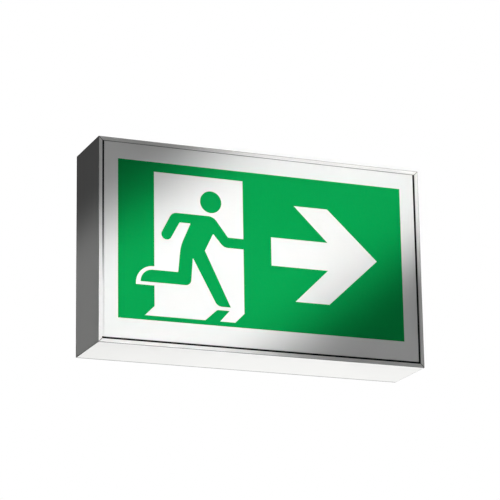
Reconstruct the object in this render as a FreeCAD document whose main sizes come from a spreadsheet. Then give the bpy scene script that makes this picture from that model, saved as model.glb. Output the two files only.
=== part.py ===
"""Emergency exit light: a mitred aluminium frame round an opal legend panel, with LED strips,
an emergency converter, a battery pack and a wall plate inside.

Millimetres, +Z up. The wall face is the plane y = 0, the legend faces -Y, and the origin is the
centre of the wall fixing holes. Every size is a formula over the cells of one spreadsheet.
"""
import FreeCAD, Part
import math
import os
import re

import Sketcher
from FreeCAD import Placement, Rotation, Vector

SIZES = {
    # case, an extruded frame of four mitred bars
    "case_width": 350.0,
    "case_height": 210.0,
    "case_depth": 70.0,
    "wall": 1.8,
    "lip_width": 3.9,
    "lip_thick": 3.0,
    "lip_round": 0.3,
    "mitre_gap": 0.2,
    "rib_thick": 1.2,
    "groove_reach": 7.5,
    "channel_front": 36.0,
    "channel_back": 16.0,
    "channel_floor": 5.2,
    "channel_lip": 6.4,
    "hook_reach": 2.0,
    # legend panel, gasket and film
    "reveal": 2.0,
    "reveal_top": 0.3,
    "panel_recess": 0.4,
    "panel_flange": 2.4,
    "panel_skin": 3.0,
    "panel_play": 0.5,
    "panel_round": 0.4,
    "gasket_thick": 1.0,
    "bead_play": 0.1,
    "bead_depth": 0.7,
    "groove_play": 0.2,
    "film_thick": 0.15,
    "legend_width": 308.0,
    "legend_height": 162.8,
    "legend_shift": -0.7,
    "legend_rise": 2.4,
    "door_left": -117.0,
    "door_right": -22.0,
    "door_top": 73.8,
    "door_foot": -74.4,
    "door_slant": 10.0,
    "arrow_tail": 8.1,
    "arrow_tip": 125.0,
    "arrow_rise": 3.0,
    "arrow_shaft": 29.6,
    "arrow_span": 100.6,
    "barb_inner": 33.6,
    "barb_outer": 70.8,
    # corner cleats
    "cleat_leg": 45.0,
    "cleat_thick": 3.0,
    "cleat_play": 0.2,
    "gusset_leg": 22.0,
    "gusset_thick": 2.0,
    "gusset_hole": 12.0,
    # gear plate and light source
    "gear_face": 31.9,
    "gear_thick": 1.0,
    "gear_width": 336.0,
    "gear_height": 196.0,
    "strip_length": 290.0,
    "strip_width": 12.0,
    "strip_thick": 1.6,
    "strip_pitch": 58.0,
    "chip_long": 3.5,
    "chip_short": 2.8,
    "chip_thick": 0.8,
    "chip_pitch": 24.0,
    "chip_count": 12,
    # converter
    "converter_mid": -45.0,
    "converter_rise": 48.0,
    "converter_length": 148.0,
    "converter_width": 38.0,
    "converter_height": 20.0,
    "converter_base": 1.5,
    "converter_ear": 9.0,
    "converter_skin": 1.5,
    # battery
    "battery_mid": -48.0,
    "battery_rise": -35.0,
    "battery_axis": 18.4,
    "battery_round": 11.25,
    "cell_length": 43.0,
    "cell_count": 3,
    "clip_skin": 1.0,
    # wall plate
    "plate_thick": 1.2,
    "plate_play": 0.3,
    "plate_flange": 13.5,
    "flange_drop": 2.7,
    "wall_hole": 2.6,
    "wall_hole_long": 300.0,
    "wall_hole_high": 150.0,
    "entry_mid": 95.0,
    "entry_hole": 8.0,
    "bush_bore": 6.2,
    "hook_spread": 160.0,
    "hook_width": 30.0,
    "fixing_spread": 200.0,
    "fixing_back": 8.0,
    "fixing_shaft": 2.0,
    "fixing_head": 3.8,
    # test switch and charge indicator in the right bar
    "switch_back": 24.5,
    "switch_rise": -34.0,
    "barrel_round": 6.0,
    "button_round": 4.0,
    "button_travel": 1.5,
    "nut_flats": 15.0,
    "lamp_rise": -50.0,
    "lamp_round": 2.5,
}

doc = FreeCAD.newDocument("ExitLight")
sheet = doc.addObject("Spreadsheet::Sheet", "Sizes")
for row, (alias, size) in enumerate(SIZES.items(), start=1):
    sheet.set(f"A{row}", alias)
    sheet.set(f"B{row}", str(size))
    sheet.setAlias(f"B{row}", alias)
doc.recompute()

parts = []


# ---------------------------------------------------------------- formulas over the sheet
def bound(formula):
    """The formula with every cell name written as FreeCAD's expressions want it."""
    def cell(match):
        word = match.group()
        return "Sizes." + word if word in SIZES else word
    return re.sub(r"[a-z][a-z_]+", cell, str(formula))


def number(formula):
    """The formula's value in plain millimetres or degrees."""
    value = sheet.evalExpression(bound(formula))
    return float(getattr(value, "Value", value))


def place(thing, x="0", y="0", z="0"):
    for axis, formula in zip("xyz", (x, y, z)):
        thing.setExpression(f"Placement.Base.{axis}", bound(formula))


# ---------------------------------------------------------------- bodies, sketches and features
def body(label):
    made = doc.addObject("PartDesign::Body", label)
    made.Label = label
    parts.append(made)
    return made


def origin_plane(owner, role):
    return next(o for o in owner.Origin.OriginFeatures if o.Role == role)


def sketch_on(owner, role, rise="0", x="0", y="0"):
    """An empty sketch on one of the body's own planes, shifted by formulas."""
    sketch = owner.newObject("Sketcher::SketchObject", "Sketch")
    sketch.AttachmentSupport = (origin_plane(owner, role), [""])
    sketch.MapMode = "FlatFace"
    for axis, formula in zip("xyz", (x, y, rise)):
        sketch.setExpression(f"AttachmentOffset.Base.{axis}", bound(formula))
    return sketch


def add_outline(sketch, corners):
    """A closed straight-sided outline with every corner bound to the sheet."""
    first = sketch.GeometryCount
    count = len(corners)
    points = [Vector(number(u), number(v), 0) for u, v in corners]
    sketch.addGeometry([Part.LineSegment(points[i], points[(i + 1) % count]) for i in range(count)])
    joins = [
        Sketcher.Constraint("Coincident", first + i, 2, first + (i + 1) % count, 1)
        for i in range(count)
    ]
    sketch.addConstraint(joins)
    for i, corner in enumerate(corners):
        for kind, formula in zip(("DistanceX", "DistanceY"), corner):
            constraint = Sketcher.Constraint(kind, -1, 1, first + i, 1, number(formula))
            index = sketch.addConstraint(constraint)
            sketch.setExpression(f"Constraints[{index}]", bound(formula))
    return sketch


def add_circle(sketch, u, v, radius):
    circle = Part.Circle(Vector(number(u), number(v), 0), Vector(0, 0, 1), number(radius))
    index = sketch.addGeometry(circle)
    for kind, formula in (("DistanceX", u), ("DistanceY", v)):
        constraint = Sketcher.Constraint(kind, -1, 1, index, 3, number(formula))
        row = sketch.addConstraint(constraint)
        sketch.setExpression(f"Constraints[{row}]", bound(formula))
    row = sketch.addConstraint(Sketcher.Constraint("Radius", index, number(radius)))
    sketch.setExpression(f"Constraints[{row}]", bound(radius))
    return sketch


def box_corners(width, height, u="0", v="0"):
    """The corners of an upright rectangle of the given size round the point u, v."""
    return [
        (f"{u} - ({width}) / 2", f"{v} - ({height}) / 2"),
        (f"{u} + ({width}) / 2", f"{v} - ({height}) / 2"),
        (f"{u} + ({width}) / 2", f"{v} + ({height}) / 2"),
        (f"{u} - ({width}) / 2", f"{v} + ({height}) / 2"),
    ]


def pad(owner, sketch, length, symmetric=False, backwards=False):
    made = owner.newObject("PartDesign::Pad", "Pad")
    made.Profile = sketch
    made.SideType = "Symmetric" if symmetric else "One side"
    made.Reversed = backwards
    made.setExpression("Length", bound(length))
    owner.Tip = made
    return made


def pocket(owner, sketch, length=None, backwards=False):
    """A cut of a given depth, or right through both ways."""
    made = owner.newObject("PartDesign::Pocket", "Pocket")
    made.Profile = sketch
    made.Reversed = backwards
    if length is None:
        made.Type = "ThroughAll"
        made.SideType = "Symmetric"
    else:
        made.setExpression("Length", bound(length))
    owner.Tip = made
    return made


def spin(owner, sketch, axis, cut=False):
    """A full turn of the sketch about its own V_Axis or H_Axis, added or cut."""
    made = owner.newObject("PartDesign::Groove" if cut else "PartDesign::Revolution", "Turned")
    made.Profile = sketch
    made.ReferenceAxis = (sketch, [axis])
    made.Angle = 360
    owner.Tip = made
    return made


def mirror(owner, features, role):
    made = owner.newObject("PartDesign::Mirrored", "Mirrored")
    made.Originals = features
    made.MirrorPlane = (origin_plane(owner, role), [""])
    owner.Tip = made
    return made


def repeat(owner, features, role, pitch, count):
    """A row of the features along one of the body's origin axes."""
    axis = next(o for o in owner.Origin.OriginFeatures if o.Role == role)
    made = owner.newObject("PartDesign::LinearPattern", "Row")
    made.Originals = features
    made.Direction = (axis, [""])
    made.Mode = "Spacing"
    made.setExpression("Offset", bound(pitch))
    made.setExpression("Occurrences", bound(count))
    owner.Tip = made
    return made


def round_edges(owner, radius, wanted):
    """A fillet on the edges of the body so far that the test picks."""
    doc.recompute()
    base = owner.Tip
    names = [f"Edge{i}" for i, edge in enumerate(base.Shape.Edges, start=1) if wanted(edge)]
    made = owner.newObject("PartDesign::Fillet", "Rounded")
    made.Base = (base, names)
    made.setExpression("Radius", bound(radius))
    owner.Tip = made
    return made


def hexagon(flats, u="0", v="0"):
    """Corners of a hexagon with two flats facing along the sketch's first axis."""
    tangent = math.tan(math.radians(30))
    ring = [(0.5, -0.5), (0.5, 0.5), (0, 1.0), (-0.5, 0.5), (-0.5, -0.5), (0, -1.0)]
    return [
        (f"{u} + {flats} * {a:.6f}", f"{v} + {flats} * {(b * tangent if a else b * 0.577350):.6f}")
        for a, b in ring
    ]


# ---------------------------------------------------------------- the frame
GROOVE_FRONT = "-case_depth + lip_thick + gasket_thick + panel_flange + groove_play"

BAR_SECTION = [
    ("0", "0"),
    ("-case_depth", "0"),
    ("-case_depth", "-lip_width"),
    ("-case_depth + lip_thick", "-lip_width"),
    ("-case_depth + lip_thick", "-wall"),
    (GROOVE_FRONT, "-wall"),
    (GROOVE_FRONT, "-groove_reach"),
    (GROOVE_FRONT + " + rib_thick", "-groove_reach"),
    (GROOVE_FRONT + " + rib_thick", "-wall"),
    ("-channel_front - rib_thick", "-wall"),
    ("-channel_front - rib_thick", "-channel_lip"),
    ("-channel_front + hook_reach", "-channel_lip"),
    ("-channel_front + hook_reach", "-channel_floor"),
    ("-channel_front", "-channel_floor"),
    ("-channel_front", "-wall"),
    ("-channel_back", "-wall"),
    ("-channel_back", "-channel_floor"),
    ("-channel_back - hook_reach", "-channel_floor"),
    ("-channel_back - hook_reach", "-channel_lip"),
    ("-channel_back + rib_thick", "-channel_lip"),
    ("-channel_back + rib_thick", "-wall"),
    ("0", "-wall"),
]


def frame_bar(label, length, turn, x="0", z="0"):
    """One extruded bar, made lying along X with its outer face up, mitred at both ends."""
    bar = body(label)
    pad(bar, add_outline(sketch_on(bar, "YZ_Plane"), BAR_SECTION), length, symmetric=True)
    front = -number("case_depth")

    def outer_long_edge(edge):
        box = edge.BoundBox
        lengthwise = box.XLength > 50
        at_front = abs(box.YMin - front) < 0.01 and abs(box.YMax - front) < 0.01
        at_back = abs(box.YMin) < 0.01 and abs(box.ZMax) < 0.01
        return lengthwise and (at_front or at_back)

    round_edges(bar, "lip_round", outer_long_edge)
    for side in ("", "-"):
        cut = [
            (f"{side}(({length}) / 2 - mitre_gap * 0.7071 + 1)", "1"),
            (f"{side}(({length}) / 2 - mitre_gap * 0.7071 - 12)", "-12"),
            (f"{side}(({length}) / 2 + 2)", "-12"),
            (f"{side}(({length}) / 2 + 2)", "1"),
        ]
        pocket(bar, add_outline(sketch_on(bar, "XZ_Plane"), cut))
    bar.Placement = Placement(Vector(0, 0, 0), Rotation(Vector(0, 1, 0), turn))
    place(bar, x=x, z=z)
    return bar


frame_top = frame_bar("frame_top", "case_width", 0, z="case_height / 2")
frame_bar("frame_bottom", "case_width", 180, z="-case_height / 2")
frame_bar("frame_left", "case_height", -90, x="-case_width / 2")
frame_right = frame_bar("frame_right", "case_height", 90, x="case_width / 2")

# two countersunk holes in the top bar take the fixing screws
countersink = [
    ("0", "0.5"),
    ("fixing_head + 0.6", "0.5"),
    ("fixing_shaft + 0.1", "-wall"),
    ("fixing_shaft + 0.1", "-wall - 1"),
    ("0", "-wall - 1"),
]
sink = sketch_on(frame_top, "XZ_Plane", rise="fixing_back", x="fixing_spread / 2")
sink_cut = spin(frame_top, add_outline(sink, countersink), "V_Axis", cut=True)
mirror(frame_top, [sink_cut], "YZ_Plane")

# the right bar is drilled for the test switch and the charge indicator
holes = sketch_on(frame_right, "XY_Plane")
add_circle(holes, "-switch_rise", "-switch_back", "barrel_round + 0.1")
add_circle(holes, "-lamp_rise", "-switch_back", "lamp_round + 0.05")
pocket(frame_right, holes, "wall * 2")


# ---------------------------------------------------------------- corner cleats
def corner_cleat(label, turn, x, z):
    """An L that slides into the channels of two bars, with a gusset for the gear plate's screw."""
    cleat = body(label)
    outer = "-wall - cleat_play"
    inner = "-wall - cleat_play - cleat_thick"
    ell = [
        (outer, outer),
        ("-cleat_leg", outer),
        ("-cleat_leg", inner),
        (inner, inner),
        (inner, "-cleat_leg"),
        (outer, "-cleat_leg"),
    ]
    width = "channel_front - channel_back - 2 * cleat_play"
    legs = sketch_on(cleat, "XZ_Plane", rise="channel_back + cleat_play")
    pad(cleat, add_outline(legs, ell), width)
    reach = f"{inner} - gusset_leg"
    wedge = [(inner, inner), (reach, inner), (inner, reach)]
    web = add_outline(sketch_on(cleat, "XZ_Plane", rise="gear_face"), wedge)
    add_circle(web, "-gusset_hole", "-gusset_hole", "fixing_shaft")
    pad(cleat, web, "gusset_thick")
    cleat.Placement = Placement(Vector(0, 0, 0), Rotation(Vector(0, 1, 0), turn))
    place(cleat, x=x, z=z)
    return cleat


CORNERS = {
    "top_right": (0, "case_width / 2", "case_height / 2"),
    "bottom_right": (90, "case_width / 2", "-case_height / 2"),
    "bottom_left": (180, "-case_width / 2", "-case_height / 2"),
    "top_left": (270, "-case_width / 2", "case_height / 2"),
}


for corner, (turn, x, z) in CORNERS.items():
    corner_cleat("corner_cleat_" + corner, turn, x, z)


# ---------------------------------------------------------------- legend panel, gasket, film
FACE_WIDTH = "case_width - 2 * (lip_width + reveal)"
FACE_HEIGHT = "case_height - 2 * lip_width - reveal - reveal_top"
FACE_RISE = "(reveal - reveal_top) / 2"
FLANGE_WIDTH = "case_width - 2 * (wall + panel_play)"
FLANGE_HEIGHT = "case_height - 2 * (wall + panel_play)"
FLANGE_FRONT = "case_depth - lip_thick - gasket_thick"
FLANGE_BACK = f"{FLANGE_FRONT} - panel_flange"
RAISE = "lip_thick + gasket_thick - panel_recess"

legend_panel = body("legend_panel")
back = sketch_on(legend_panel, "XZ_Plane", rise=FLANGE_BACK)
pad(legend_panel, add_outline(back, box_corners(FLANGE_WIDTH, FLANGE_HEIGHT)), "panel_flange")
raised = sketch_on(legend_panel, "XZ_Plane", rise=FLANGE_FRONT)
pad(legend_panel, add_outline(raised, box_corners(FACE_WIDTH, FACE_HEIGHT, "0", FACE_RISE)), RAISE)
panel_front = -number("case_depth - panel_recess")
round_edges(legend_panel, "panel_round", lambda edge: edge.BoundBox.YMax < panel_front + 0.01)
# the moulding is a shallow tray, hollow from behind, so that its face is one even skin
tray = sketch_on(legend_panel, "XZ_Plane", rise=FLANGE_BACK)
inner_size = (f"{FACE_WIDTH} - 2 * panel_skin", f"{FACE_HEIGHT} - 2 * panel_skin")
add_outline(tray, box_corners(*inner_size, "0", FACE_RISE))
pocket(legend_panel, tray, f"panel_flange + {RAISE} - panel_skin", backwards=True)

panel_gasket = body("panel_gasket")
ring = sketch_on(panel_gasket, "XZ_Plane", rise=FLANGE_FRONT)
add_outline(ring, box_corners(FLANGE_WIDTH, FLANGE_HEIGHT))
ring_opening = (f"{FACE_WIDTH} + 2 * bead_play", f"{FACE_HEIGHT} + 2 * bead_play")
add_outline(ring, box_corners(*ring_opening, "0", FACE_RISE))
pad(panel_gasket, ring, "gasket_thick")
# on three sides a bead stands up from the gasket and closes the gap round the panel
bead = sketch_on(panel_gasket, "XZ_Plane", rise=FLANGE_FRONT)
outer = "case_width / 2 - lip_width - bead_play"
inner = f"({FACE_WIDTH}) / 2 + bead_play"
foot = "-case_height / 2 + lip_width + bead_play"
head = "case_height / 2 - lip_width - reveal_top"
add_outline(
    bead,
    [
        (f"-({outer})", head),
        (f"-({outer})", foot),
        (outer, foot),
        (outer, head),
        (inner, head),
        (inner, f"{foot} + reveal - 2 * bead_play"),
        (f"-({inner})", f"{foot} + reveal - 2 * bead_play"),
        (f"-({inner})", head),
    ],
)
pad(panel_gasket, bead, f"case_depth - panel_recess - bead_depth - ({FLANGE_FRONT})")

# The film is one green field. The doorway and the arrow are cut out of it, and the running
# figure is left standing in the doorway; only the figure's head is a loose island.
LEGEND_BACK = "case_depth - panel_recess"


def rounded_wire_geometry(corners):
    """Lines and tangent arcs along corners given as (x, z, radius)."""
    count = len(corners)
    points = [Vector(x, z, 0) for x, z, radius in corners]
    trims = []
    for i, (x, z, radius) in enumerate(corners):
        to_last = (points[i - 1] - points[i]).normalize()
        to_next = (points[(i + 1) % count] - points[i]).normalize()
        if radius == 0:
            trims.append((points[i], None, points[i]))
            continue
        half_turn = math.acos(max(-1.0, min(1.0, to_last.dot(to_next)))) / 2
        run = radius / math.tan(half_turn)
        inward = (to_last + to_next).normalize()
        middle = points[i] + inward * (radius / math.sin(half_turn) - radius)
        trims.append((points[i] + to_last * run, middle, points[i] + to_next * run))
    edges = []
    for i in range(count):
        start, middle, end = trims[i]
        if middle is not None:
            edges.append(Part.Arc(start, middle, end))
        following = trims[(i + 1) % count][0]
        if (following - end).Length > 0.02:
            edges.append(Part.LineSegment(end, following))
    return edges


def add_figure(sketch, corners):
    """A rounded outline joined end to end and fixed in place."""
    scale = number("legend_width") / 308
    scaled = [(x * scale, z * scale, radius * scale) for x, z, radius in corners]
    edges = rounded_wire_geometry(scaled)
    first = sketch.GeometryCount
    sketch.addGeometry(edges)
    total = len(edges)
    for i in range(total):
        sketch.addConstraint(Sketcher.Constraint("Block", first + i))
    return sketch


RUNNER = [
    (-21.0, 12.9, 0),        # forward hand, run into the door's edge
    (-38.6, 12.9, 1.5),      # forward elbow
    (-54.1, 33.3, 11.0),     # forward shoulder
    (-98.0, 33.3, 8.0),      # rear elbow
    (-111.2, 8.0, 5.3),      # rear hand
    (-101.6, 3.0, 5.3),
    (-90.1, 23.8, 1.0),      # inside of the rear elbow
    (-78.4, 23.8, 0.6),      # rear armpit
    (-89.2, -0.4, 45.0),     # back
    (-91.9, -27.6, 0.8),     # back of the rear knee
    (-131.3, -27.6, 12.6),   # rear foot
    (-131.3, -40.3, 0),
    (-78.6, -40.3, 6.0),     # rear knee
    (-76.4, -11.4, 0.4),     # crotch
    (-50.6, -59.2, 8.0),     # front heel
    (-36.5, -59.2, 0),       # front toe
    (-63.5, -3.1, 0.8),      # waist
    (-54.5, 15.3, 0.6),      # forward armpit
    (-42.9, 2.1, 9.0),       # under the forward elbow
    (-21.0, 2.1, 0),
]
SHADOW = [(-65.0, -75.5, 0), (-51.0, -62.9, 4.0), (-37.9, -62.9, 0), (-49.0, -75.5, 0)]
FOOT_MARGIN = [
    (-116.0, -24.0, 0),
    (-136.2, -24.0, 18.0),
    (-136.2, -43.6, 0),
    (-116.0, -43.6, 0),
]
HEAD = (-56.7, 48.1, 11.35)

legend_film = body("legend_film")
field = sketch_on(legend_film, "XZ_Plane", rise=LEGEND_BACK)
add_outline(field, box_corners("legend_width", "legend_height", "legend_shift", "legend_rise"))
add_outline(
    field,
    [
        ("arrow_tail", "arrow_rise - arrow_shaft / 2"),
        ("barb_outer - 0.7", "arrow_rise - arrow_shaft / 2"),
        ("barb_inner", "arrow_rise - arrow_span / 2"),
        ("barb_outer", "arrow_rise - arrow_span / 2"),
        ("arrow_tip", "arrow_rise"),
        ("barb_outer", "arrow_rise + arrow_span / 2"),
        ("barb_inner", "arrow_rise + arrow_span / 2"),
        ("barb_outer - 0.7", "arrow_rise + arrow_shaft / 2"),
        ("arrow_tail", "arrow_rise + arrow_shaft / 2"),
    ],
)
pad(legend_film, field, "film_thick")
doorway = [
    ("door_left", "door_top"),
    ("door_right", "door_top"),
    ("door_right", "door_foot + door_slant"),
    ("door_right - door_slant", "door_foot"),
    ("door_left - door_slant", "door_foot"),
    ("door_left", "door_foot + door_slant"),
]
pocket(legend_film, add_outline(sketch_on(legend_film, "XZ_Plane", rise=LEGEND_BACK), doorway))
pocket(legend_film, add_figure(sketch_on(legend_film, "XZ_Plane", rise=LEGEND_BACK), FOOT_MARGIN))
for outline in (RUNNER, SHADOW):
    figure = add_figure(sketch_on(legend_film, "XZ_Plane", rise=LEGEND_BACK), outline)
    pad(legend_film, figure, "film_thick")
head = sketch_on(legend_film, "XZ_Plane", rise=LEGEND_BACK)
add_circle(head, *HEAD)
pad(legend_film, head, "film_thick")


# ---------------------------------------------------------------- gear plate and light source
def hex_screws(label, spots, seat, flats, head_height, shaft_end, shaft_round):
    """Hexagon-head screws along Y as separate solids, heads towards the wall.

    The seat and the shaft's end are counted from the wall face towards the legend.
    """
    group = body(label)
    heads = sketch_on(group, "XZ_Plane", rise=seat)
    for x, z in spots:
        add_outline(heads, hexagon(flats, x, z))
    pad(group, heads, head_height, backwards=True)
    shafts = sketch_on(group, "XZ_Plane", rise=seat)
    for x, z in spots:
        add_circle(shafts, x, z, shaft_round)
    pad(group, shafts, f"{shaft_end} - ({seat})")
    return group


GEAR_BACK = "gear_face - gear_thick"
PLATE_CORNERS = [
    (f"{sx}(case_width / 2 - gusset_hole)", f"{sz}(case_height / 2 - gusset_hole)")
    for sx in ("", "-")
    for sz in ("", "-")
]
STRIP_RISES = ["strip_pitch", "0", "-strip_pitch"]
CONVERTER_SPOTS = [
    (f"converter_mid {sx} (converter_length + converter_ear) / 2", "converter_rise")
    for sx in ("+", "-")
]

gear_plate = body("gear_plate")
blank = sketch_on(gear_plate, "XZ_Plane", rise=GEAR_BACK)
add_outline(blank, box_corners("gear_width", "gear_height"))
for x, z in PLATE_CORNERS:
    add_circle(blank, x, z, "fixing_shaft + 0.2")
pad(gear_plate, blank, "gear_thick")

hex_screws("gear_plate_screws", PLATE_CORNERS, GEAR_BACK, "7", "2.4",
           "gear_face + gusset_thick + 0.8", "fixing_shaft - 0.05")

for index, rise in enumerate(STRIP_RISES, start=1):
    strip = body(f"led_strip_{index}")
    board = sketch_on(strip, "XZ_Plane", rise="gear_face")
    add_outline(board, box_corners("strip_length", "strip_width"))
    pad(strip, board, "strip_thick")
    socket = sketch_on(strip, "XZ_Plane", rise="gear_face + strip_thick")
    add_outline(socket, box_corners("4", "7", "strip_length / 2 - 2.2"))
    pad(strip, socket, "3.2")
    chip = sketch_on(strip, "XZ_Plane", rise="gear_face + strip_thick")
    add_outline(chip, box_corners("chip_long", "chip_short", "-chip_pitch * (chip_count - 1) / 2"))
    emitter = pad(strip, chip, "chip_thick")
    repeat(strip, [emitter], "X_Axis", "chip_pitch", "chip_count")
    place(strip, z=rise)


# ---------------------------------------------------------------- emergency converter
BASE_BACK = f"{GEAR_BACK} - converter_base"
CARD_BACK = f"{BASE_BACK} - 3.6"

converter_base = body("converter_base")
foot = sketch_on(converter_base, "XZ_Plane", rise=BASE_BACK)
foot_length = "converter_length + 2 * converter_ear"
add_outline(foot, box_corners(foot_length, "converter_width", "converter_mid", "converter_rise"))
pad(converter_base, foot, "converter_base")
ledges = sketch_on(converter_base, "XZ_Plane", rise=BASE_BACK)
for sign in ("+", "-"):
    spot = (f"converter_mid {sign} (converter_length / 2 - 8)", "converter_rise")
    add_outline(ledges, box_corners("4", "converter_width - 12", *spot))
pad(converter_base, ledges, "2", backwards=True)

converter_board = body("converter_board")
card = sketch_on(converter_board, "XZ_Plane", rise=CARD_BACK)
card_size = ("converter_length - 2 * converter_skin - 2", "converter_width - 2 * converter_skin - 2")
add_outline(card, box_corners(*card_size, "converter_mid", "converter_rise"))
pad(converter_board, card, "1.6")
COMPONENTS = [
    # width, height and thickness of each block, and its place along and across the board
    ("20", "22", "11", "-10", "0"),
    ("14", "18", "9", "18", "2"),
    ("9", "7", "8", "40", "-6"),
    ("10", "24", "10", "-58", "0"),
    ("10", "24", "10", "58", "0"),
]
for width, height, thick, along, across in COMPONENTS:
    block = sketch_on(converter_board, "XZ_Plane", rise=CARD_BACK)
    spot = (f"converter_mid + {along}", f"converter_rise + {across}")
    add_outline(block, box_corners(width, height, *spot))
    pad(converter_board, block, thick, backwards=True)
cans = sketch_on(converter_board, "XZ_Plane", rise=CARD_BACK)
for along, across in (("-33", "7"), ("-33", "-7")):
    add_circle(cans, f"converter_mid + {along}", f"converter_rise + {across}", "4")
pad(converter_board, cans, "12", backwards=True)

converter_cover = body("converter_cover")
shell = sketch_on(converter_cover, "XZ_Plane", rise=BASE_BACK)
add_outline(
    shell, box_corners("converter_length", "converter_width", "converter_mid", "converter_rise")
)
pad(converter_cover, shell, "converter_height", backwards=True)
round_edges(converter_cover, "2.5", lambda edge: edge.BoundBox.YLength > 5)
inside = sketch_on(converter_cover, "XZ_Plane", rise=BASE_BACK)
hollow = ("converter_length - 2 * converter_skin", "converter_width - 2 * converter_skin")
add_outline(inside, box_corners(*hollow, "converter_mid", "converter_rise"))
pocket(converter_cover, inside, "converter_height - converter_skin")
vents = sketch_on(converter_cover, "XZ_Plane")
slot = box_corners("2", "20", "converter_mid - 27", "converter_rise")
slot_cut = pocket(converter_cover, add_outline(vents, slot))
repeat(converter_cover, [slot_cut], "X_Axis", "9", "7")

# two small hexagon heads on the ears stand for the converter's sheet-metal screws
converter_screws = body("converter_screws")
heads = sketch_on(converter_screws, "XZ_Plane", rise=BASE_BACK)
for x, z in CONVERTER_SPOTS:
    add_outline(heads, hexagon("5.5", x, z))
pad(converter_screws, heads, "2.2", backwards=True)

# ---------------------------------------------------------------- battery pack and its clips
battery_pack = body("battery_pack")
first_cell = sketch_on(battery_pack, "YZ_Plane", rise="-cell_length * cell_count / 2")
add_circle(first_cell, "0", "0", "battery_round")
cell = pad(battery_pack, first_cell, "cell_length - 0.5")
repeat(battery_pack, [cell], "X_Axis", "cell_length", "cell_count")
place(battery_pack, x="battery_mid", y="-battery_axis", z="battery_rise")

# Each clip is one strip bent round the pack in flats, open towards the wall, with a riveted foot.
CLIP_GROUND = "battery_axis - gear_face + gear_thick"
CLIP_BENDS = (-140, -90, -30, 30, 90, 140)


def clip_corners(reach):
    """Corners of the bent strip at a given reach from the pack's axis, from one lip to the other."""
    corners = []
    for bend in CLIP_BENDS:
        angle = math.radians(180 + bend)
        corners.append((f"({reach}) * {math.cos(angle):.5f}", f"({reach}) * {math.sin(angle):.5f}"))
    return corners


for side, sign in (("left", "-"), ("right", "+")):
    clip = body("battery_clip_" + side)
    inner = clip_corners("(battery_round + 0.15) * 1.155")
    outer = clip_corners("(battery_round + 0.15) * 1.155 + clip_skin")
    strap = add_outline(sketch_on(clip, "YZ_Plane"), inner + outer[::-1])
    pad(clip, strap, "12", symmetric=True)
    tread = [
        (CLIP_GROUND, "-9"),
        (f"{CLIP_GROUND} + clip_skin", "-9"),
        (f"{CLIP_GROUND} + clip_skin", "9"),
        (CLIP_GROUND, "9"),
    ]
    pad(clip, add_outline(sketch_on(clip, "YZ_Plane"), tread), "12", symmetric=True)
    place(clip, x=f"battery_mid {sign} cell_length", y="-battery_axis", z="battery_rise")

# ---------------------------------------------------------------- wall plate
PLATE_FOOT = "-case_height / 2 + wall + plate_play"
PLATE_HEAD = "case_height / 2 - flange_drop"

back_plate = body("back_plate")
fold = [
    ("0", PLATE_FOOT),
    ("0", PLATE_HEAD),
    ("-plate_flange", PLATE_HEAD),
    ("-plate_flange", f"{PLATE_HEAD} - plate_thick"),
    ("-plate_thick", f"{PLATE_HEAD} - plate_thick"),
    ("-plate_thick", PLATE_FOOT),
]
plate_width = "case_width - 2 * (wall + plate_play)"
pad(back_plate, add_outline(sketch_on(back_plate, "YZ_Plane"), fold), plate_width, symmetric=True)
head_level = number(PLATE_HEAD)
round_edges(back_plate, "1.1", lambda edge: edge.BoundBox.XLength > 50
            and abs(edge.BoundBox.ZMax - head_level) < 0.01 and abs(edge.BoundBox.YMax) < 0.01)
wall_holes = sketch_on(back_plate, "XZ_Plane")
for sx in ("", "-"):
    for sz in ("", "-"):
        add_circle(wall_holes, f"{sx}wall_hole_long / 2", f"{sz}wall_hole_high / 2", "wall_hole")
add_circle(wall_holes, "entry_mid", "0", "entry_hole")
pocket(back_plate, wall_holes)
nut_holes = sketch_on(back_plate, "XY_Plane", rise="case_height / 2")
for sx in ("", "-"):
    add_outline(nut_holes, box_corners("4.6", "4.6", f"{sx}fixing_spread / 2", "-fixing_back"))
pocket(back_plate, nut_holes, "5")

for side, sign in (("left", "-"), ("right", "")):
    bracket = body("hook_bracket_" + side)
    arm = "-case_height / 2 + channel_lip + 1"
    lip = "-channel_back - hook_reach - 0.4"
    steel = "plate_thick"
    hook = [
        ("-plate_thick", f"{arm} + 20"),
        ("-plate_thick", arm),
        (lip, arm),
        (lip, "-case_height / 2 + 3"),
        (f"{lip} - {steel}", "-case_height / 2 + 3"),
        (f"{lip} - {steel}", f"{arm} + {steel}"),
        (f"-plate_thick - {steel}", f"{arm} + {steel}"),
        (f"-plate_thick - {steel}", f"{arm} + 20"),
    ]
    pad(bracket, add_outline(sketch_on(bracket, "YZ_Plane"), hook), "hook_width", symmetric=True)
    place(bracket, x=f"{sign}hook_spread / 2")

captive_nuts = body("captive_nuts")
nut_top = f"{PLATE_HEAD} - plate_thick"
blank = sketch_on(captive_nuts, "XY_Plane", rise=nut_top)
for sx in ("", "-"):
    add_outline(blank, box_corners("9", "9", f"{sx}fixing_spread / 2", "-fixing_back"))
    add_circle(blank, f"{sx}fixing_spread / 2", "-fixing_back", "fixing_shaft + 0.05")
pad(captive_nuts, blank, "4", backwards=True)

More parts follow.
